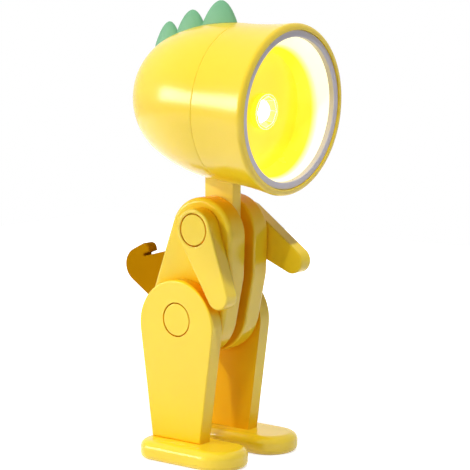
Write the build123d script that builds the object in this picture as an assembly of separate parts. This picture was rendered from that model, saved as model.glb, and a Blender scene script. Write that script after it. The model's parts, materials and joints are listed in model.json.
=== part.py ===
from build123d import *
from math import atan2, cos, degrees, radians, sin, sqrt, tan
import os

# A folding night light shaped as a standing figure with a lamp for a head.
# Millimetres. X runs across the figure, with its left side at +X. The figure
# faces -Y and stands on Z = 0. Side views are drawn in Y and Z.

# Places of the two pivots, seen from the side
hip_height = 29.4
shoulder_forward = 4.55
shoulder_rise = 19.0

# Torso plates
torso_gap = 3.0
torso_thickness = 4.95
torso_chest_radius = 8.0
torso_chest_back = 0.85
torso_chest_drop = 1.7
torso_belly_radius = 9.0
torso_belly_forward = 2.45
torso_belly_rise = 10.1
torso_seat_radius = 9.8
torso_seat_back = 0.15
torso_seat_rise = 1.5
torso_outer_round = 1.0
torso_inner_round = 0.5

# Limbs
limb_gap = 0.1
limb_thickness = 3.25
limb_edge_round = 0.3
limb_web = 1.1
arm_leg_room = 0.93
arm_shoulder_radius = 4.3
arm_hand_radius = 2.6
arm_right_angle = 25.0
arm_left_angle = 61.0
leg_top_radius = 9.65
leg_top_drop = 1.55
leg_set_back = 0.25
leg_ankle_width = 12.8

# Feet
foot_height = 4.0
foot_width = 12.0
foot_toe_reach = 16.2
foot_heel_reach = 8.2
foot_toe_radius = 5.9
foot_heel_radius = 4.6
foot_offset = 8.6
foot_top_round = 1.7
foot_bottom_round = 1.2
tenon_length = 7.0
tenon_width = 1.6
tenon_depth = 2.4

# Pivot hardware
axle_radius = 1.5
nut_radius = 2.7
nut_thickness = 0.35
washer_radius = 3.6
washer_thickness = 0.3
washer_sunk = 0.22
arm_cap_radius = 3.45
leg_cap_radius = 3.6
cap_height = 1.5
cap_flange = 0.6
cap_groove = 0.25
cap_round = 0.15
axle_end_room = 0.1

# Neck
neck_thickness = 2.8
neck_width = 7.4
neck_show = 7.8
neck_round = 0.25
neck_pin_radius = 1.0

# Tail plate
tail_thickness = 2.9
tail_root_radius = 6.0
tail_bend_back = 17.4
tail_bend_rise = 8.8
tail_bend_radius = 3.8
tail_tip_back = 15.8
tail_tip_rise = 12.45
tail_tip_radius = 1.25
tail_notch_drop = 1.25
tail_notch_radius = 0.25
tail_front_back = 2.0
tail_front_rise = 15.7
tail_front_radius = 1.0
tail_round = 0.35
peg_radius = 1.1
lower_peg_back = 4.6
lower_peg_drop = 2.0
upper_peg_back = 5.4
upper_peg_rise = 6.2
peg_grip = 2.0

# Head form, measured back from its face along its own axis
head_pitch = 3.9
head_face_radius = 17.5
head_flare = 1.2
head_waist_back = 14.0
head_dome_length = 23.85
nose_taper = 2.0
head_seam_back = 13.2
head_wall = 1.6
head_lip_round = 0.9
head_seam_round = 0.15
spigot_length = 2.2
spigot_wall = 0.85
neck_pin_back = 17.2
neck_pin_sunk = 4.7
neck_cheek = 2.2
neck_cheek_radius = 3.0
neck_cheek_flare = 1.0
tilt_down = 15.0
tilt_up = 30.0

# Lamp mouth
head_lip = 1.5
bezel_width = 1.43
bezel_thickness = 1.2
bezel_sunk = 0.35
cup_flange = 0.8
cup_wall = 0.9
cup_slope = 2.57
plate_back = 7.7
plate_drop = 1.0
plate_thickness = 1.2
plate_lap = 0.4
led_cup_radius = 3.6
led_cup_mouth = 3.2
led_cup_neck = 2.8
led_cup_depth = 1.9
led_cup_sides = 8
led_radius = 2.5
led_length = 5.2
board_margin = 0.6
board_thickness = 1.0
board_back = 11.6
standoff_margin = 3.0
standoff_radius = 1.6
standoff_count = 3
screw_radius = 0.8
screw_head_radius = 1.5
screw_head_height = 0.9
screw_grip = 3.0

# Crest fins, with heights above the shell and places along the head's axis
large_fin_back = 19.65
large_fin_length = 8.4
large_fin_height = 4.6
middle_fin_back = 27.0
middle_fin_length = 7.0
middle_fin_height = 4.0
small_fin_back = 33.1
small_fin_length = 6.4
small_fin_height = 4.5
fin_sections = [(0, 1.12), (0.05, 1.0), (0.46, 0.76), (0.85, 0.4), (1, 0.08)]
fin_width_share = 0.42
fin_root = 3.4
crest_peg_radius = 0.8
crest_peg_through = 0.5
crest_peg_rise = 1.2

# Battery bay, which opens on the left side of the head
cell_radius = 5.8
cell_height = 3.1
cell_count = 3
cell_room = 0.15
bay_back = 22.8
bay_wall = 0.85
bay_floor = 0.7
bay_end = 1.0
contact_thickness = 0.35
contact_radius = 4.4
door_skin = 0.8
door_lap = 1.1
door_ear_radius = 2.7
door_ear_drop = 9.3
door_slit = 0.1
door_boss_wall = 1.0
door_screw_inset = 0.1

# Push switch at the back of the head
button_radius = 3.6
button_proud = 0.7
button_travel = 0.8
button_flange = 0.7
button_flange_lap = 0.8
button_stem_radius = 1.2
switch_body_size = 6.8
switch_body_floor = 0.4
switch_board_margin = 3.8
switch_board_thickness = 0.8

# Clearances
press_gap = 0.02
running_gap = 0.06
seat_gap = 0.05
slot_gap = 0.2

# How far a cut or a join runs past the face where it starts
overrun = 1.0

# Small rounds and steps
screw_sunk = 0.3
ring_round = 0.15
cell_round = 0.3
case_round = 0.5
led_cup_proud = 1.2

# Derived places
torso_inner = torso_gap / 2
torso_outer = torso_inner + torso_thickness
limb_inner = torso_outer + limb_gap
limb_outer = limb_inner + limb_thickness
cap_base = limb_outer - cap_height
axle_half_length = cap_base - axle_end_room
shoulder_height = hip_height + shoulder_rise
head_waist_radius = head_face_radius - head_flare
nose_radius = head_waist_radius - nose_taper
neck_reach = torso_chest_radius - torso_chest_drop + neck_show
neck_pin_drop = head_waist_radius - neck_pin_sunk
bezel_outer_radius = head_face_radius - head_lip
bezel_inner_radius = bezel_outer_radius - bezel_width
plate_radius = bezel_inner_radius - cup_slope
board_radius = plate_radius - board_margin
standoff_circle = board_radius - standoff_margin
switch_board_radius = nose_radius - switch_board_margin
spigot_front = plate_back + plate_thickness + slot_gap
head_length = head_waist_back + head_dome_length
flank_reach = head_waist_radius ** 2 + (head_dome_length - nose_radius) ** 2 - nose_radius ** 2
flank_radius = flank_reach / (2 * (head_waist_radius - nose_radius))
flank_turn = degrees(atan2(head_dome_length - nose_radius, flank_radius - head_waist_radius))
flank_end = head_waist_back + flank_radius * sin(radians(flank_turn))
nose_back = head_length - nose_radius
hip = Vector(0, hip_height)
shoulder = Vector(-shoulder_forward, shoulder_height)
leg_top = hip + Vector(leg_set_back, -leg_top_drop)
peg_spots = [hip + Vector(lower_peg_back, -lower_peg_drop), hip + Vector(upper_peg_back, upper_peg_rise)]


def link(a, radius_a, b, radius_b):
    """Face of two circles and the two straight sides that touch both."""
    along = (b - a).normalized()
    across = Vector(-along.Y, along.X)
    lean = (radius_a - radius_b) / (b - a).length
    spread = sqrt(1 - lean ** 2)

    def touch(centre, radius, side):
        return centre + along * (radius * lean) + across * (radius * spread * side)

    first = Line(touch(a, radius_a, 1), touch(b, radius_b, 1))
    far_end = ThreePointArc(first @ 1, b + along * radius_b, touch(b, radius_b, -1))
    second = Line(far_end @ 1, touch(a, radius_a, -1))
    near_end = ThreePointArc(second @ 1, a - along * radius_a, first @ 0)
    return make_face([first, far_end, second, near_end])


def plate(face, inner, outer):
    """Side view face made solid from X = inner to X = outer."""
    return extrude(Plane.YZ.offset(inner) * face, outer - inner)


def rod(centre, radius, start, end):
    """Round bar along X through a point of the side view."""
    return plate(Pos(centre.X, centre.Y) * Circle(radius), start, end)


def face_edges(solid, x):
    """Edges of a plate that lie in the plane at X = x."""
    return solid.edges().filter_by_position(Axis.X, x - 0.001, x + 0.001)


def mirrored(solid):
    return mirror(solid, Plane.YZ)


# Torso

def torso_outline():
    """Rounded plate that bulges forward a little between chest and seat."""
    chest = shoulder + Vector(torso_chest_back, -torso_chest_drop)
    belly = hip + Vector(-torso_belly_forward, torso_belly_rise)
    seat = hip + Vector(torso_seat_back, torso_seat_rise)
    body = link(chest, torso_chest_radius, seat, torso_seat_radius)
    body += link(chest, torso_chest_radius, belly, torso_belly_radius)
    return body + link(belly, torso_belly_radius, seat, torso_seat_radius)


def torso_plate():
    """Left torso plate, bored for both axles and sunk for their washers."""
    body = plate(torso_outline(), torso_inner, torso_outer)
    body = fillet(face_edges(body, torso_outer), torso_outer_round)
    body = fillet(face_edges(body, torso_inner), torso_inner_round)
    for pivot in (hip, shoulder):
        body -= rod(pivot, axle_radius + press_gap, torso_inner - overrun, torso_outer + overrun)
        body -= rod(pivot, washer_radius + seat_gap, torso_outer - washer_sunk, torso_outer + overrun)
    return body


def torso_left():
    """Plate that carries the two locating pegs."""
    body = torso_plate()
    for spot in peg_spots:
        body += rod(spot, peg_radius, -torso_inner - peg_grip, torso_inner + overrun)
    return body


def torso_right():
    """Plate with the sockets for the pegs."""
    body = mirrored(torso_plate())
    for spot in peg_spots:
        bottom = -torso_inner - peg_grip - seat_gap
        body -= rod(spot, peg_radius + press_gap, bottom, 0)
    return body


def tail_outline():
    """Plate that grows from the hip to a bend, with a tip that curls back over a notch."""
    bend = hip + Vector(tail_bend_back, tail_bend_rise)
    tip = hip + Vector(tail_tip_back, tail_tip_rise)
    notch = tip - Vector(0, tail_notch_drop)
    front = hip + Vector(tail_front_back, tail_front_rise)
    body = link(hip, tail_root_radius, bend, tail_bend_radius)
    body += make_face(Polyline(hip, front, notch, bend, close=True))
    body += link(bend, tail_bend_radius, tip, tail_tip_radius)
    return body - link(notch, tail_notch_radius, front, tail_front_radius)


def tail():
    body = plate(tail_outline(), -tail_thickness / 2, tail_thickness / 2)
    body = fillet(face_edges(body, tail_thickness / 2), tail_round)
    body = fillet(face_edges(body, -tail_thickness / 2), tail_round)
    body -= rod(hip, axle_radius + press_gap, -torso_gap, torso_gap)
    for spot in peg_spots:
        body -= rod(spot, peg_radius + press_gap, -torso_gap, torso_gap)
    return body


# Pivot hardware

def axle(pivot):
    return rod(pivot, axle_radius, -axle_half_length, axle_half_length)


def washers(pivot):
    """One thin friction washer on each side of the torso."""
    inner = torso_outer - washer_sunk
    ring = rod(pivot, washer_radius, inner, inner + washer_thickness)
    ring -= rod(pivot, axle_radius + press_gap, 0, limb_outer)
    return Compound([ring, mirrored(ring)])


def push_nuts(pivot):
    """One push nut on each axle end, under the limb's cap."""
    inner = limb_inner + limb_web + limb_gap
    nut = rod(pivot, nut_radius, inner, inner + nut_thickness)
    nut -= rod(pivot, axle_radius + press_gap, 0, limb_outer)
    return Compound([nut, mirrored(nut)])


def cap(pivot, radius):
    """Round plug with a pressed flange, which leaves a groove round its face."""
    body = rod(pivot, radius - cap_groove, cap_base, limb_outer)
    body = fillet(face_edges(body, limb_outer), cap_round)
    return body + rod(pivot, radius - press_gap, cap_base, cap_base + cap_flange)


# Limbs

def limb(outline, pivot, cap_radius):
    """Left limb plate with its axle bore and the pocket for nut and cap."""
    body = plate(outline, limb_inner, limb_outer)
    body = fillet(face_edges(body, limb_outer), limb_edge_round)
    body -= rod(pivot, axle_radius + running_gap, limb_inner - overrun, limb_outer + overrun)
    return body - rod(pivot, cap_radius, limb_inner + limb_web, limb_outer + overrun)


def hand_way(angle):
    """Direction from the shoulder to the hand at an angle from straight down."""
    return Vector(-sin(radians(angle)), -cos(radians(angle)))


def arm_reach():
    """Reach at which the lower hand just clears the top of the leg."""
    way = hand_way(arm_right_angle)
    gap = shoulder - leg_top
    room = leg_top_radius + arm_hand_radius + arm_leg_room
    return -gap.dot(way) - sqrt(gap.dot(way) ** 2 - gap.length ** 2 + room ** 2)


def arm(angle):
    """Left arm, swung forward by an angle from straight down."""
    hand = shoulder + hand_way(angle) * arm_reach()
    outline = link(shoulder, arm_shoulder_radius, hand, arm_hand_radius)
    return limb(outline, shoulder, arm_cap_radius)


def leg_outline():
    """Round hip that tapers in straight lines to the ankle."""
    centre = Vector(0, leg_top.Y)
    ankle = Vector(leg_ankle_width / 2, foot_height)
    run = ankle - centre
    along = run.normalized()
    across = Vector(-along.Y, along.X)
    lean = leg_top_radius / run.length
    touch = centre + along * (leg_top_radius * lean) + across * (leg_top_radius * sqrt(1 - lean ** 2))
    top = ThreePointArc(touch, centre + Vector(0, leg_top_radius), Vector(-touch.X, touch.Y))
    sides = Polyline(top @ 1, Vector(-ankle.X, ankle.Y), ankle, top @ 0)
    return Pos(leg_set_back, 0) * make_face([top, sides])


def tenon(clearance):
    """Tongue under the ankle, which sits in a slot of the foot."""
    x = (limb_inner + limb_outer) / 2
    size = (tenon_width + clearance, tenon_length + clearance, tenon_depth + clearance)
    return Pos(x, 0, foot_height - size[2] / 2) * Box(*size)


def leg():
    return limb(leg_outline(), hip, leg_cap_radius) + tenon(0)


def foot_outline():
    """Long rounded sole with a rounder toe than heel, centred on X = 0."""
    half = foot_width / 2
    toe = -foot_toe_reach
    heel = foot_heel_reach
    sole = make_face(Polyline((-half, toe), (half, toe), (half, heel), (-half, heel), close=True))
    corners = sole.vertices().sort_by(Axis.Y)
    sole = fillet(corners[:2], foot_toe_radius)
    return fillet(sole.vertices().group_by(Axis.Y)[-1], foot_heel_radius)


def foot():
    """Left foot, a thick pad rounded all round."""
    body = extrude(Pos(foot_offset, 0) * foot_outline(), foot_height)
    body = fillet(body.faces().sort_by(Axis.Z)[-1].edges(), foot_top_round)
    body = fillet(body.faces().sort_by(Axis.Z)[0].edges(), foot_bottom_round)
    return body - tenon(seat_gap)


# Neck

def neck():
    top = shoulder + Vector(0, neck_reach)
    body = plate(link(shoulder, neck_width / 2, top, neck_width / 2), -neck_thickness / 2, neck_thickness / 2)
    body = fillet(face_edges(body, neck_thickness / 2), neck_round)
    body = fillet(face_edges(body, -neck_thickness / 2), neck_round)
    body -= rod(shoulder, axle_radius + running_gap, -torso_gap, torso_gap)
    return body - rod(top, neck_pin_radius + running_gap, -torso_gap, torso_gap)


# Head, drawn level with its face in the XZ plane and its axis along +Y

pin = Vector(neck_pin_back, -neck_pin_drop)


def tube_radius(back, inset):
    """Radius of the flared front part of the head at a distance from its face."""
    rise = head_face_radius - head_waist_radius
    flare = (head_waist_back ** 2 + rise ** 2) / (2 * rise)
    return head_waist_radius + flare - sqrt((flare + inset) ** 2 - (head_waist_back - back) ** 2)


def head_form(inset, front=0.0):
    """Solid of the head's form, taken in by an inset, from a plane to its pole."""
    waist = head_waist_back
    middle = (front + waist) / 2
    start = (tube_radius(front, inset), front)
    across = Line((0, front), start)
    flare = ThreePointArc(start, (tube_radius(middle, inset), middle), (head_waist_radius - inset, waist))
    flank = CenterArc((head_waist_radius - flank_radius, waist), flank_radius - inset, 0, flank_turn)
    nose = CenterArc((0, nose_back), nose_radius - inset, flank_turn, 90 - flank_turn)
    axis = Line(nose @ 1, (0, front))
    return revolve(make_face([across, flare, flank, nose, axis]), Axis.Y)


def ring(inner, outer, front, back):
    """Plain ring or disc about the head's axis."""
    body = Pos(0, (front + back) / 2, 0) * Rot(90, 0, 0) * Cylinder(outer, back - front)
    if inner > 0:
        body -= Pos(0, (front + back) / 2, 0) * Rot(90, 0, 0) * Cylinder(inner, back - front + 2 * overrun)
    return body


def slab(front, back):
    """Block that holds all of the head between two planes across its axis."""
    size = 3 * head_face_radius
    return Pos(0, (front + back) / 2, 0) * Box(size, back - front, size)


cup_seat = bezel_sunk + bezel_thickness + cup_flange


def head_front_shell():
    """Flared tube with a rounded lip, a seat for the bezel and a spigot."""
    body = head_form(0) & slab(0, head_seam_back)
    body = fillet(body.edges().sort_by(Axis.Y)[0], head_lip_round)
    body = fillet(body.edges().sort_by(Axis.Y)[-1], head_seam_round)
    body += head_form(head_wall + press_gap) & slab(head_seam_back - overrun, head_seam_back + spigot_length)
    body -= head_form(head_wall) & slab(cup_seat - overrun, spigot_front)
    body -= head_form(head_wall + spigot_wall)
    body -= ring(0, bezel_outer_radius + press_gap, -overrun, cup_seat)
    return body - spigot_relief() - neck_slot()


def spigot_relief():
    """Break in the spigot, which leaves room for the neck and its ears."""
    width = 2 * (torso_inner + neck_cheek + slot_gap)
    height = 4 * (head_wall + spigot_wall)
    return Pos(0, head_seam_back + spigot_length, -head_waist_radius) * Box(width, 2 * spigot_length, height)


def fins():
    """Place, base length and height of each fin."""
    large = (large_fin_back, large_fin_length, large_fin_height)
    middle = (middle_fin_back, middle_fin_length, middle_fin_height)
    small = (small_fin_back, small_fin_length, small_fin_height)
    return [large, middle, small]


def crest_pegs(clearance):
    """Round pegs under the fins, through the wall of the shell."""
    pegs = []
    for tip, _, _ in fins():
        low = dome_radius(tip) - head_wall - crest_peg_through
        high = dome_radius(tip) + crest_peg_rise
        body = Pos(0, tip, (low + high) / 2) * Cylinder(crest_peg_radius + clearance, high - low)
        pegs.append(body)
    return pegs


def dome_radius(back):
    """Radius of the dome of the head at a distance from its face."""
    if back > flank_end:
        return sqrt(nose_radius ** 2 - (back - nose_back) ** 2)
    return head_waist_radius - flank_radius + sqrt(flank_radius ** 2 - (back - head_waist_back) ** 2)


def fin(tip, length, height):
    """Upright fin, longer than wide, that narrows to a rounded tip."""
    sections = []
    for rise, share in fin_sections:
        level = height * rise if rise > 0 else -fin_root
        half = length / 2 * share
        sections.append(Pos(0, 0, level) * Ellipse(half * fin_width_share, half))
    return Pos(0, tip, dome_radius(tip)) * loft(sections)


def crest():
    """Row of three fins on the dome, with a peg under each."""
    large, middle, small = fins()
    body = fin(*large) + fin(*middle) + fin(*small)
    body -= head_form(0)
    for peg in crest_pegs(0):
        body += peg
    return body


def neck_slot():
    """Slot under the head in which the neck tilts."""
    outer_drop = head_waist_radius - neck_pin_drop + slot_gap
    half = neck_width / 2
    down = radians(tilt_down + head_pitch)
    up = radians(tilt_up - head_pitch)
    ahead = half / cos(down) + outer_drop * tan(down) + slot_gap
    behind = half / cos(up) + outer_drop * tan(up) + slot_gap
    width = neck_thickness + slot_gap * 2
    centre = pin + Vector((behind - ahead) / 2, -head_waist_radius / 2)
    return Pos(0, centre.X, centre.Y) * Box(width, ahead + behind, head_waist_radius)


def neck_cheeks():
    """Two ears inside the shell that hold the neck's pin."""
    foot_of_ear = pin - Vector(0, head_waist_radius - neck_pin_drop)
    ear = link(pin, neck_cheek_radius, foot_of_ear, neck_cheek_radius + neck_cheek_flare)
    left = plate(ear, torso_inner, torso_inner + neck_cheek) & head_form(head_wall / 2)
    left -= rod(pin, neck_pin_radius + press_gap, 0, torso_inner + neck_cheek + overrun)
    return [left, mirrored(left)]


def neck_pin():
    length = torso_inner + neck_cheek
    return rod(pin, neck_pin_radius, -length, length)


# Battery bay and door, on an axis along X through the left wall

bay = Vector(bay_back, 0)
ear = Vector(bay_back, -door_ear_drop)
cells_start = bay_floor + bay_end + contact_thickness
cells_end = cells_start + cell_count * cell_height
bay_bore = cell_radius + cell_room
door_radius = bay_bore + door_lap


def door_outline(clearance):
    return link(bay, door_radius + clearance, ear, door_ear_radius + clearance)


def door_screw_boss():
    """Post inside the shell for the door's screw."""
    boss = rod(ear, screw_radius + door_boss_wall, cells_end - screw_grip, head_face_radius)
    return boss & head_form(head_wall / 2)


def head_rear_shell():
    """Domed shell with the neck's slot and ears and the openings at its back and side."""
    body = head_form(0, head_seam_back)
    body = fillet(body.edges().sort_by(Axis.Y)[0], head_seam_round)
    body -= head_form(head_wall, head_seam_back - overrun)
    body -= neck_slot()
    for cheek in neck_cheeks():
        body += cheek
    body += door_screw_boss()
    rebate = plate(door_outline(door_slit), 0, head_face_radius) - head_form(door_skin + press_gap)
    body -= rebate
    body -= rod(bay, bay_bore + press_gap, cells_start, head_face_radius)
    body -= door_screw_hole(press_gap)
    body -= ring(0, button_radius + slot_gap, flange_back, head_length + overrun)
    for peg in crest_pegs(press_gap):
        body -= peg
    return body


def battery_holder():
    """Round well for the cells, shaped at its mouth to the inside of the shell."""
    body = rod(bay, bay_bore + bay_wall, bay_end, head_face_radius) & head_form(head_wall + press_gap)
    return body - rod(bay, bay_bore, bay_end + bay_floor, head_face_radius)


def battery_cell(number):
    start = cells_start + number * cell_height
    body = rod(bay, cell_radius, start, start + cell_height)
    return fillet(face_edges(body, start + cell_height), cell_round)


def inner_contact():
    return rod(bay, contact_radius, cells_start - contact_thickness, cells_start)


def door_contact():
    return rod(bay, contact_radius, cells_end, cells_end + contact_thickness)


def battery_door():
    """Flush door that follows the dome, with a plug over the cells and a screw ear."""
    skin = plate(door_outline(0), 0, head_face_radius) & (head_form(0) - head_form(door_skin))
    inner = cells_end + contact_thickness
    plug = rod(bay, cell_radius, inner, head_face_radius) & head_form(door_skin / 2)
    return skin + plug - door_screw_hole(seat_gap)


screw_top = sqrt(dome_radius(bay_back) ** 2 - door_ear_drop ** 2) - screw_sunk
screw_seat = screw_top - screw_head_height / 2
screw_end = cells_end - screw_grip + door_boss_wall


def door_screw_hole(clearance):
    """Stepped hole for the door's screw and its head."""
    hole = rod(ear, screw_head_radius + clearance, screw_seat - clearance, head_face_radius)
    return hole + rod(ear, screw_radius + clearance, screw_end - clearance, screw_top)


def door_screw():
    """Screw whose head follows the dome, just under its surface."""
    head = rod(ear, screw_head_radius, screw_seat, head_face_radius) & head_form(door_screw_inset)
    return head + rod(ear, screw_radius, screw_end, screw_top)


# Lamp mouth

def bezel_ring():
    """Flat ring that frames the mouth."""
    body = ring(bezel_inner_radius, bezel_outer_radius, bezel_sunk, bezel_sunk + bezel_thickness)
    return fillet(body.edges().group_by(Axis.Y)[0], ring_round)


lamp = Pos(0, 0, -plate_drop)


def disc(radius, back):
    """Flat round face across the head's axis."""
    return Plane((0, back, 0), z_dir=(0, 1, 0)) * Circle(radius)


def reflector_cup():
    """Open slanted cone with a flange under the bezel and a rim round the plate."""
    front = bezel_sunk + bezel_thickness
    rim = plate_radius + plate_lap
    body = loft([disc(bezel_inner_radius + cup_wall, front), lamp * disc(rim + cup_wall, plate_back)])
    body += lamp * ring(0, rim + cup_wall, plate_back, plate_back + plate_thickness)
    body += ring(0, bezel_outer_radius, front, cup_seat)
    body -= loft([disc(bezel_inner_radius, front), lamp * disc(plate_radius, plate_back)])
    return body - lamp * ring(0, rim, plate_back, plate_back + plate_thickness + overrun)


def standoff_spots():
    """Places of the posts behind the plate."""
    turns = [Rot(0, 360 / standoff_count * turn, 0) for turn in range(standoff_count)]
    return [turn * Pos(0, 0, standoff_circle) for turn in turns]


def bar(spot, radius, front, back):
    """Round bar along the head's axis at a spot."""
    return spot * Pos(0, (front + back) / 2, 0) * Rot(90, 0, 0) * Cylinder(radius, back - front)


def lamp_plate():
    """Back wall of the mouth, with posts for the circuit board."""
    body = ring(led_cup_radius + press_gap, plate_radius + plate_lap - press_gap, plate_back,
                plate_back + plate_thickness)
    for spot in standoff_spots():
        body += bar(spot, standoff_radius, plate_back + plate_thickness, board_back)
        body -= bar(spot, screw_radius, plate_back + plate_thickness, board_back + overrun)
    return body


def led_cup():
    """Small faceted reflector round the LED."""
    front = plate_back - led_cup_proud
    body = ring(0, led_cup_radius, front, front + led_cup_depth)
    mouth = Plane((0, front, 0), z_dir=(0, 1, 0)) * RegularPolygon(led_cup_mouth, led_cup_sides)
    throat = Plane((0, front + led_cup_depth, 0), z_dir=(0, 1, 0)) * RegularPolygon(led_cup_neck, led_cup_sides)
    return body - loft([mouth, throat])


def led():
    """Round LED that stands on the board, with a domed front."""
    dome_back = board_back - led_length + led_radius
    body = ring(0, led_radius, dome_back, board_back)
    return body + Pos(0, dome_back, 0) * Sphere(led_radius)


def led_board():
    body = ring(0, board_radius, board_back, board_back + board_thickness)
    for spot in standoff_spots():
        body -= bar(spot, screw_radius + press_gap, board_back - overrun, board_back + board_thickness + overrun)
    return body


def board_screws():
    """Three small screws that hold the board on its posts."""
    screws = []
    back = board_back + board_thickness
    for spot in standoff_spots():
        shank = bar(spot, screw_radius - press_gap, back - screw_grip, back)
        screws.append(shank + bar(spot, screw_head_radius, back, back + screw_head_height))
    return Compound(screws)


# Push switch

def inside_nose(radius):
    """How far back a disc of some radius can go before it meets the inside of the dome."""
    return nose_back + sqrt((nose_radius - head_wall) ** 2 - radius ** 2)


flange_radius = button_radius + button_flange_lap
flange_back = inside_nose(flange_radius) - slot_gap
flange_front = flange_back - button_flange
switch_front = inside_nose(switch_board_radius) - seat_gap
switch_top = flange_front - button_travel - slot_gap
stem_front = switch_front + switch_body_floor + button_travel + slot_gap


def switch_button():
    """Domed button with a flange inside the shell and a stem to the switch."""
    body = ring(0, button_radius, flange_front, head_length + button_proud)
    body = fillet(body.edges().sort_by(Axis.Y)[-1], button_proud)
    body += ring(0, flange_radius, flange_front, flange_back)
    return body + ring(0, button_stem_radius, stem_front, flange_front)


def switch_body():
    """Latching switch in a square case, open for the button's stem."""
    size = switch_body_size
    height = switch_top - switch_front
    body = Pos(0, switch_front + height / 2, 0) * Box(size, height, size)
    body = fillet(body.edges().filter_by(Axis.Y), case_round)
    return body - ring(0, button_stem_radius + slot_gap, switch_front + switch_body_floor, switch_top + overrun)


def switch_board():
    """Round board that rests on the inside of the dome."""
    return ring(0, switch_board_radius, switch_front - switch_board_thickness, switch_front)


# Assembly

def head_place():
    """Place of the head on its pin at the top of the neck."""
    top = shoulder + Vector(0, neck_reach)
    return Pos(0, top.X, top.Y) * Rot(head_pitch, 0, 0) * Pos(0, -pin.X, -pin.Y)


def head_pieces():
    cells = {f"battery_cell_{number + 1}": battery_cell(number) for number in range(cell_count)}
    return {
        **cells,
        "head_front_shell": head_front_shell(),
        "head_rear_shell": head_rear_shell(),
        "crest": crest(),
        "bezel_ring": bezel_ring(),
        "reflector_cup": reflector_cup(),
        "lamp_plate": lamp * lamp_plate(),
        "led_cup": lamp * led_cup(),
        "led": lamp * led(),
        "led_board": lamp * led_board(),
        "board_screws": lamp * board_screws(),
        "battery_holder": battery_holder(),
        "inner_contact": inner_contact(),
        "door_contact": door_contact(),
        "battery_door": battery_door(),
        "door_screw": door_screw(),
        "neck_pin": neck_pin(),
        "switch_button": switch_button(),
        "switch_body": switch_body(),
        "switch_board": switch_board(),
    }


def body_pieces():
    return {
        "torso_right": torso_right(),
        "torso_left": torso_left(),
        "tail": tail(),
        "shoulder_axle": axle(shoulder),
        "hip_axle": axle(hip),
        "shoulder_washers": washers(shoulder),
        "hip_washers": washers(hip),
        "shoulder_push_nuts": push_nuts(shoulder),
        "hip_push_nuts": push_nuts(hip),
        "neck": neck(),
        "arm_right": mirrored(arm(arm_right_angle)),
        "arm_left": arm(arm_left_angle),
        "arm_cap_right": mirrored(cap(shoulder, arm_cap_radius)),
        "arm_cap_left": cap(shoulder, arm_cap_radius),
        "leg_right": mirrored(leg()),
        "leg_left": leg(),
        "leg_cap_right": mirrored(cap(hip, leg_cap_radius)),
        "leg_cap_left": cap(hip, leg_cap_radius),
        "foot_right": mirrored(foot()),
        "foot_left": foot(),
    }


def all_pieces():
    """Every piece, moved so that the overall box stands centred on the origin."""
    pieces = body_pieces()
    for name, solid in head_pieces().items():
        pieces[name] = head_place() * solid
    box = Compound(list(pieces.values())).bounding_box()
    home = Pos(-box.center().X, -box.center().Y, -box.min.Z)
    return {name: home * solid for name, solid in pieces.items()}, home


pieces, home = all_pieces()
os.makedirs("parts", exist_ok=True)
for name, solid in pieces.items():
    export_step(solid, f"parts/{name}.step")
print("moved home by", home.position)
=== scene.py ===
import bpy
import json
from math import cos, radians, sin
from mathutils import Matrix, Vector

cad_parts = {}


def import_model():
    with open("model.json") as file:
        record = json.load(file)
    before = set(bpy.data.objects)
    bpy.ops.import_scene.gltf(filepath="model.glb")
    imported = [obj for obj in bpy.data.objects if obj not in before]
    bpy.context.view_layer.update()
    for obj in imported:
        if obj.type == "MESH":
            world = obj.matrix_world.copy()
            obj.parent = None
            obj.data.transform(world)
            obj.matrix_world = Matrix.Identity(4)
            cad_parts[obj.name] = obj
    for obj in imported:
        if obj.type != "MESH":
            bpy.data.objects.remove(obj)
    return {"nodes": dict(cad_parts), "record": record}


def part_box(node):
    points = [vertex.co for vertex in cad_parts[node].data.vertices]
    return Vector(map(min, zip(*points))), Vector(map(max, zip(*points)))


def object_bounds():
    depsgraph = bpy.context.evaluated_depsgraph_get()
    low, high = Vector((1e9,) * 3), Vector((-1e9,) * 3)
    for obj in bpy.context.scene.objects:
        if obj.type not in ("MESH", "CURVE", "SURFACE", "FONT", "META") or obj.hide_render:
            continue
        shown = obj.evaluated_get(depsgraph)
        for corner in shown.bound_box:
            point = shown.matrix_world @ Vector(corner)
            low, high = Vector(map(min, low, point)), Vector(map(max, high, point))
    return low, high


# Looks of the folding night light. Metres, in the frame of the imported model.

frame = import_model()
nodes = frame["nodes"]
cad_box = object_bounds()

# Camera, at the photograph's viewing angle, with its turns in degrees
camera_place = (-0.2898, -0.23329, 0.096)
camera_down = 82.36
camera_turn = -51.956
camera_lens = 137.87
sensor_width = 36.0

# Colours, linear
white = (1, 1, 1, 1)
yellow = (0.93, 0.67, 0.022, 1)
# Paler edge wear of the yellow plastic; the neck also takes it as a painted light tone
worn_yellow_and_neck_painted_light = (0.96, 0.74, 0.08, 1)
# Painted light: the neck is painted paler than the rest of the same plastic, as if lit
neck_painted_light_yellow = (0.97, 0.82, 0.20, 1)
neck_wear_and_painted_light = (0.98, 0.90, 0.45, 1)
yellow_deep = (0.92, 0.65, 0.018, 1)
# Painted shade: deep orange painted into the gaps and recesses of the yellow plastic
yellow_shade = (1.0, 0.45, 0.002, 1)
# Painted shade: the tail is painted the dark orange that shade gives the yellow plastic
tail_painted_shade_orange = (0.50, 0.225, 0.001, 1)
tail_wear_in_painted_shade = (0.56, 0.27, 0.004, 1)
tail_painted_shade_deep = (0.47, 0.205, 0.001, 1)
bowl_yellow = (0.98, 0.82, 0.03, 1)
# Painted light: pale rim of the bowl where the lamp lights it; also the edge wear of the plate
painted_light_and_worn_pale = (1.0, 0.98, 0.80, 1)
# Painted glow of the plate behind the lamp
plate_painted_glow_colour = (1.0, 0.8, 0.02, 1)
cup_yellow = (0.95, 0.80, 0.10, 1)
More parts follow.
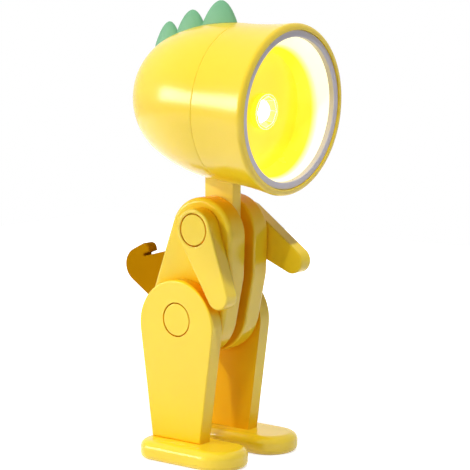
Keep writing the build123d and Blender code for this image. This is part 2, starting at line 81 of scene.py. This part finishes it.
# Painted glow of the little reflector round the lamp
cup_painted_glow_colour = (1.0, 0.78, 0.03, 1)
lamp_clear = (1.0, 0.98, 0.85, 1)
lamp_glow = (1.0, 0.97, 0.82, 1)
green = (0.18, 0.43, 0.24, 1)
green_worn = (0.30, 0.55, 0.35, 1)
green_deep = (0.15, 0.37, 0.20, 1)
lilac = (0.62, 0.59, 0.67, 1)
lilac_worn = (0.74, 0.72, 0.78, 1)
lilac_deep = (0.58, 0.55, 0.63, 1)
steel = (0.62, 0.62, 0.63, 1)
nickel = (0.70, 0.68, 0.64, 1)
board_green = (0.02, 0.16, 0.06, 1)
black = (0.02, 0.02, 0.022, 1)
nylon = (0.80, 0.80, 0.74, 1)
nylon_worn = (0.86, 0.86, 0.82, 1)
nylon_deep = (0.74, 0.73, 0.66, 1)
floor_grey = (0.75, 0.75, 0.75, 1)
metal_shade = 0.8

# Surface of the plastic
plastic_roughness = 0.20
roughness_spread = 0.02
plastic_scatter = 0.12
scatter_radius = (1.0, 0.6, 0.1)
scatter_scale = 0.001
plastic_gloss = 0.6
dimmed_gloss = 0.3
neck_gloss = 0.25
gap_gloss = 0.05
# Reach of the occlusion mask that paints shade into gaps
painted_shade_reach = 0.019
grain_size = 0.00025
grain_depth = 0.000004
soft_grain_depth = 0.00001
cloud_size = 0.012
smear_size = 0.009
scuff_size = 0.0012
edge_radius = 0.0002
arm_edge_radius = 0.0006
facet_edge_radius = 0.0003

# How finely each noise is broken up
plain_detail = 1.0
fine_detail = 2.0
cloudy_detail = 3.0
rough_detail = 4.0

# Bands of a noise, a gap or an edge over which a look changes
cloud_band = (0.35, 0.65)
scuff_band = (0.35, 0.7)
even_band = (0.3, 0.7)
stain_band = (0.4, 0.7)
# Occlusion bands over which the painted shade fades in and the gloss drops in gaps
painted_shade_band = (0.15, 0.75)
gap_gloss_band = (0.6, 0.95)
edge_band = (0.995, 0.85)

# Surface of the metal
stain_size = 0.004
streak_size = 0.0006
brushed_below = 0.08
brushed_above = 0.1

# Bowl: how far behind its mouth the pale rim of painted light turns yellow
painted_light_rim_start = 0.0031
painted_light_rim_end = 0.0046

# Bowl, cup and LED: roughness, size of its unevenness, and glow. The glow of the bowl and the cup is
# painted light; only the LED is a lamp.
wall_roughness = (0.16, 0.28)
wall_smear_size = 0.003
wall_grain_size = 0.0006
cup_roughness = (0.10, 0.18)
cup_smear_size = 0.001
cup_metallic = 0.5
lamp_roughness = 0.1
lamp_cloud_size = 0.0015
rim_painted_glow = 0.60
wall_painted_glow = 0.45
plate_painted_glow = 0.5
facet_painted_glow = 0.45
facet_edge_painted_highlight = 1.6
lamp_glow_strength = (2.5, 4.0)

# Floor: its white fades in round the object, where the shadow shows
floor_half = 0.3
fade_start = 0.04
fade_end = 0.14
fade_level = 0.65

# Even light of the surroundings
surrounding_light = 0.2

# Lamps: angle from +X towards +Y, angle above level, width, height and watts. The
# lights aren't mirrored in the object, and the highlights are only mirrored.
lamp_distance = 0.6
lights = {
    "key_lamp": (-124, 65, 0.03, 0.03, 2.1),
    "rear_lamp": (140, 33, 0.03, 0.03, 1.4),
    "back_softbox": (118, 10, 0.3, 0.3, 0.5),
    "low_softbox": (155, 0, 0.3, 0.08, 0.72),
    "front_softbox": (-95, 10, 0.3, 0.3, 0.06),
    "left_softbox": (22, 12, 0.3, 0.3, 0.9),
}
highlights = {"side_strip": (133, 9.5, 0.32, 0.13, 1.2)}


# Materials

class Shader:
    """A Principled material with short helpers for its node tree."""

    def __init__(self, name):
        self.material = bpy.data.materials.new(name)
        self.material.use_nodes = True
        self.tree = self.material.node_tree
        self.base = self.tree.nodes["Principled BSDF"]
        self.place = self.tree.nodes.new("ShaderNodeTexCoord").outputs["Object"]

    def add(self, kind, **values):
        node = self.tree.nodes.new(kind)
        for key, value in values.items():
            setattr(node, key, value)
        return node

    def join(self, source, target):
        self.tree.links.new(source, target)

    def feed(self, source, socket):
        """Links a source to one of the shader's own sockets."""
        self.join(source, self.base.inputs[socket])

    def keep(self, socket, value):
        """Sets one of the shader's own sockets to a constant."""
        self.base.inputs[socket].default_value = value

    def combine(self, operation, first, second):
        """Result of a math operation on two values."""
        node = self.add("ShaderNodeMath", operation=operation)
        self.join(first, node.inputs[0])
        self.join(second, node.inputs[1])
        return node.outputs["Value"]

    def noise(self, size, detail=fine_detail):
        """Noise whose features are about one size across, in metres."""
        node = self.add("ShaderNodeTexNoise")
        node.inputs["Scale"].default_value = 1 / size
        node.inputs["Detail"].default_value = detail
        self.join(self.place, node.inputs["Vector"])
        return node.outputs["Fac"]

    def span(self, source, low, high, start=0.0, end=1.0):
        """Maps a value from low..high to start..end, held at its ends."""
        node = self.add("ShaderNodeMapRange")
        sockets = (("From Min", low), ("From Max", high), ("To Min", start), ("To Max", end))
        for key, value in sockets:
            node.inputs[key].default_value = value
        self.join(source, node.inputs["Value"])
        return node.outputs["Result"]

    def blend(self, factor, first, second):
        """Colour that goes from first to second by a factor."""
        node = self.add("ShaderNodeMix", data_type="RGBA")
        self.join(factor, node.inputs["Factor"])
        for value, socket in ((first, node.inputs["A"]), (second, node.inputs["B"])):
            if isinstance(value, tuple):
                socket.default_value = value
            else:
                self.join(value, socket)
        return node.outputs["Result"]

    def edges(self, radius):
        """Rounded normal and a mask that is 1 along edges."""
        bevel = self.add("ShaderNodeBevel", samples=4)
        bevel.inputs["Radius"].default_value = radius
        real = self.add("ShaderNodeNewGeometry")
        dot = self.add("ShaderNodeVectorMath", operation="DOT_PRODUCT")
        self.join(bevel.outputs["Normal"], dot.inputs[0])
        self.join(real.outputs["Normal"], dot.inputs[1])
        return bevel.outputs["Normal"], self.span(dot.outputs["Value"], *edge_band)

    def bump(self, height, depth, normal=None):
        node = self.add("ShaderNodeBump")
        node.inputs["Distance"].default_value = depth
        node.inputs["Strength"].default_value = 1.0
        self.join(height, node.inputs["Height"])
        if normal is not None:
            self.join(normal, node.inputs["Normal"])
        return node.outputs["Normal"]


def moulded(name, colour, worn, deep, roughness, grain=grain_depth, scatter=0.0, gloss=0.5,
            shade=None, rounding=edge_radius):
    """Moulded plastic: cloudy colour, fine grain, handled gloss and paler edges. Given a painted shade
    colour, gaps and recesses are painted that colour and lose gloss.
    """
    look = Shader(name)
    cloud = look.span(look.noise(cloud_size, cloudy_detail), *cloud_band)
    tint = look.blend(cloud, colour, deep)
    normal, edge = look.edges(rounding)
    scuff = look.span(look.noise(scuff_size, rough_detail), *scuff_band)
    paint = look.blend(look.combine("MULTIPLY", edge, scuff), tint, worn)
    look.keep("Specular IOR Level", gloss)
    # Painted shade: where the occlusion mask finds nearby surfaces, the colour turns to the painted
    # shade orange and the gloss drops
    if shade is not None:
        painted_shade_mask = look.add("ShaderNodeAmbientOcclusion", samples=8)
        painted_shade_mask.inputs["Distance"].default_value = painted_shade_reach
        paint = look.blend(look.span(painted_shade_mask.outputs["AO"], *painted_shade_band), shade, paint)
        shine = look.span(painted_shade_mask.outputs["AO"], *gap_gloss_band, gap_gloss, gloss)
        look.feed(shine, "Specular IOR Level")
    look.feed(paint, "Base Color")
    smear = look.span(look.noise(smear_size, cloudy_detail), *even_band,
                      roughness - roughness_spread, roughness + roughness_spread)
    look.feed(smear, "Roughness")
    look.feed(look.bump(look.noise(grain_size), grain, normal), "Normal")
    look.keep("Subsurface Weight", scatter)
    look.keep("Subsurface Radius", scatter_radius)
    look.keep("Subsurface Scale", scatter_scale)
    return look


def yellow_plastic(name, colour=yellow, worn=worn_yellow_and_neck_painted_light, deep=yellow_deep, **values):
    """The figure's own plastic, a little translucent."""
    values.setdefault("gloss", plastic_gloss)
    return moulded(name, colour, worn, deep, plastic_roughness, scatter=plastic_scatter, **values)


def metal(name, colour, roughness):
    """Bare metal with fine brushed streaks."""
    look = Shader(name)
    look.keep("Metallic", 1.0)
    stain = look.span(look.noise(stain_size, cloudy_detail), *stain_band)
    look.feed(look.blend(stain, colour, tuple(c * metal_shade for c in colour[:3]) + (1,)), "Base Color")
    brushed = look.span(look.noise(streak_size, rough_detail), *even_band,
                        roughness - brushed_below, roughness + brushed_above)
    look.feed(brushed, "Roughness")
    look.feed(look.bump(look.noise(streak_size / 2), grain_depth), "Normal")
    return look


def painted_glow_bowl_wall():
    """Glossy wall of the mouth, painted pale at its rim and yellow towards the plate, and painted to
    glow as if lit by the lamp.
    """
    look = Shader("painted_glow_bowl_wall")
    split = look.add("ShaderNodeSeparateXYZ")
    look.join(look.place, split.inputs[0])
    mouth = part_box("reflector_cup")[0].y
    depth = look.span(split.outputs["Y"], mouth + painted_light_rim_start, mouth + painted_light_rim_end)
    tint = look.blend(depth, painted_light_and_worn_pale, bowl_yellow)
    # Painted light: the pale rim and the wall glow as if lit by the lamp
    look.feed(tint, "Base Color")
    look.feed(tint, "Emission Color")
    look.feed(look.span(depth, 0, 1, rim_painted_glow, wall_painted_glow), "Emission Strength")
    smear = look.noise(wall_smear_size, cloudy_detail)
    look.feed(look.span(smear, *even_band, *wall_roughness), "Roughness")
    look.feed(look.bump(look.noise(wall_grain_size), grain_depth), "Normal")
    return look


def painted_glow_bowl_floor():
    """Yellow back wall of the mouth, painted to glow as if lit by the lamp in its middle."""
    look = moulded("painted_glow_bowl_floor", bowl_yellow, painted_light_and_worn_pale, yellow, 0.22)
    # Painted light: the plate glows as if lit by the lamp
    look.keep("Emission Color", plate_painted_glow_colour)
    look.keep("Emission Strength", plate_painted_glow)
    return look


def painted_glow_faceted_cup():
    """Bright little reflector, painted to glow, with painted highlights along its facet edges."""
    look = Shader("painted_glow_faceted_cup")
    look.keep("Base Color", cup_yellow)
    look.keep("Metallic", cup_metallic)
    normal, edge = look.edges(facet_edge_radius)
    look.feed(normal, "Normal")
    # Painted light: the cup glows and its facet edges get painted white highlights
    look.feed(look.blend(edge, cup_painted_glow_colour, white), "Emission Color")
    look.feed(look.span(edge, 0, 1, facet_painted_glow, facet_edge_painted_highlight), "Emission Strength")
    look.feed(look.span(look.noise(cup_smear_size), *even_band, *cup_roughness), "Roughness")
    return look


def lit_lamp():
    """Clear LED dome with an uneven glow."""
    look = Shader("lit_lamp")
    look.keep("Base Color", lamp_clear)
    look.keep("Roughness", lamp_roughness)
    look.keep("Emission Color", lamp_glow)
    cloud = look.noise(lamp_cloud_size, plain_detail)
    look.feed(look.span(cloud, *even_band, *lamp_glow_strength), "Emission Strength")
    return look


looks = {
    # The body pieces and the right arm get painted shade in their gaps
    "yellow": yellow_plastic("yellow_plastic", shade=yellow_shade),
    "arm": yellow_plastic("arm_plastic_painted_shade", shade=yellow_shade, rounding=arm_edge_radius),
    "far_arm": yellow_plastic("far_arm_plastic", gloss=dimmed_gloss, rounding=arm_edge_radius),
    # Painted light: the neck's paler colours stand in for light on its sides
    "neck": yellow_plastic("neck_plastic_painted_light", neck_painted_light_yellow, neck_wear_and_painted_light, worn_yellow_and_neck_painted_light, gloss=neck_gloss),
    "shell": yellow_plastic("shell_plastic"),
    # Painted shade: the tail is painted dark orange and given no gloss
    "tail": moulded("tail_painted_shade_matt", tail_painted_shade_orange, tail_wear_in_painted_shade, tail_painted_shade_deep, 0.6, gloss=0.0),
    "green": moulded("green_soft_plastic", green, green_worn, green_deep, 0.55, soft_grain_depth),
    "lilac": moulded("lilac_ring", lilac, lilac_worn, lilac_deep, 0.38),
    "steel": metal("bright_steel", steel, 0.3),
    "nickel": metal("nickel_plate", nickel, 0.25),
    "board": moulded("board_lacquer", board_green, nylon, board_green, 0.35),
    "nylon": moulded("nylon_washer", nylon, nylon_worn, nylon_deep, 0.5),
    "black": moulded("black_plastic", black, steel, black, 0.45),
    "painted_glow_bowl_wall": painted_glow_bowl_wall(),
    "painted_glow_bowl_floor": painted_glow_bowl_floor(),
    "painted_glow_faceted_cup": painted_glow_faceted_cup(),
    "lit_lamp": lit_lamp(),
}
own_looks = {
    "reflector_cup": "painted_glow_bowl_wall",
    "lamp_plate": "painted_glow_bowl_floor",
    "led_cup": "painted_glow_faceted_cup",
    "led": "lit_lamp",
    "tail": "tail",
    "head_front_shell": "shell",
    "head_rear_shell": "shell",
    "foot_right": "shell",
    "foot_left": "shell",
    "neck": "neck",
    "arm_right": "arm",
    "arm_left": "far_arm",
}


def dress_nodes():
    """Gives every node its own look, or else the look of its slot in the record."""
    for entry in frame["record"]["subparts"]:
        name = entry["node"]
        look = looks[own_looks.get(name, entry["material_slot"])]
        nodes[name].data.materials.clear()
        nodes[name].data.materials.append(look.material)


# Stage, light and camera

def area_light(name, turn, rise, width, height, power):
    """Rectangular lamp that faces the middle of the object."""
    data = bpy.data.lights.new(name, "AREA")
    data.shape = "RECTANGLE"
    data.size = width
    data.size_y = height
    data.energy = power
    lamp = bpy.data.objects.new(name, data)
    bpy.context.scene.collection.objects.link(lamp)
    way = Vector((cos(radians(turn)) * cos(radians(rise)), sin(radians(turn)) * cos(radians(rise)),
                  sin(radians(rise))))
    middle = (cad_box[0] + cad_box[1]) / 2
    lamp.location = middle + way * lamp_distance
    lamp.rotation_euler = way.to_track_quat("Z", "Y").to_euler()
    return lamp


def floor():
    """Pale floor that looks white round the object and keeps its soft shadow."""
    mesh = bpy.data.meshes.new("floor")
    half = floor_half
    mesh.from_pydata([(-half, -half, 0), (half, -half, 0), (half, half, 0), (-half, half, 0)],
                     [], [(0, 1, 2, 3)])
    piece = bpy.data.objects.new("floor", mesh)
    bpy.context.scene.collection.objects.link(piece)
    look = Shader("floor")
    look.keep("Base Color", floor_grey)
    look.keep("Roughness", 0.9)
    look.keep("Specular IOR Level", 0.0)
    look.keep("Emission Color", white)
    reach = look.add("ShaderNodeVectorMath", operation="LENGTH")
    look.join(look.place, reach.inputs[0])
    path = look.add("ShaderNodeLightPath").outputs
    mirrored = look.combine("MAXIMUM", path["Is Glossy Ray"], path["Is Transmission Ray"])
    seen = look.combine("MAXIMUM", path["Is Camera Ray"], mirrored)
    level = look.span(reach.outputs["Value"], fade_start, fade_end, fade_level, 1.0)
    look.feed(look.combine("MULTIPLY", seen, level), "Emission Strength")
    mesh.materials.append(look.material)


def world():
    """White to the camera and in reflections, and a weak even light."""
    scene_world = bpy.data.worlds.new("surroundings")
    bpy.context.scene.world = scene_world
    scene_world.use_nodes = True
    tree = scene_world.node_tree
    back = tree.nodes["Background"]
    back.inputs["Color"].default_value = white
    path = tree.nodes.new("ShaderNodeLightPath")
    seen = path.outputs["Is Camera Ray"]
    for kind in ("Is Glossy Ray", "Is Transmission Ray"):
        larger = tree.nodes.new("ShaderNodeMath")
        larger.operation = "MAXIMUM"
        tree.links.new(seen, larger.inputs[0])
        tree.links.new(path.outputs[kind], larger.inputs[1])
        seen = larger.outputs["Value"]
    level = tree.nodes.new("ShaderNodeMapRange")
    level.inputs["To Min"].default_value = surrounding_light
    tree.links.new(seen, level.inputs["Value"])
    tree.links.new(level.outputs["Result"], back.inputs["Strength"])


def camera():
    """Camera that frames the object as the photograph does."""
    data = bpy.data.cameras.new("camera")
    data.lens = camera_lens
    data.sensor_width = sensor_width
    eye = bpy.data.objects.new("camera", data)
    bpy.context.scene.collection.objects.link(eye)
    eye.location = camera_place
    eye.rotation_euler = (radians(camera_down), 0, radians(camera_turn))
    bpy.context.scene.camera = eye


dress_nodes()
floor()
world()
camera()
for lamp_name, values in lights.items():
    area_light(lamp_name, *values).visible_glossy = False
for lamp_name, values in highlights.items():
    area_light(lamp_name, *values).visible_diffuse = False
bpy.context.scene.view_settings.view_transform = "Standard"
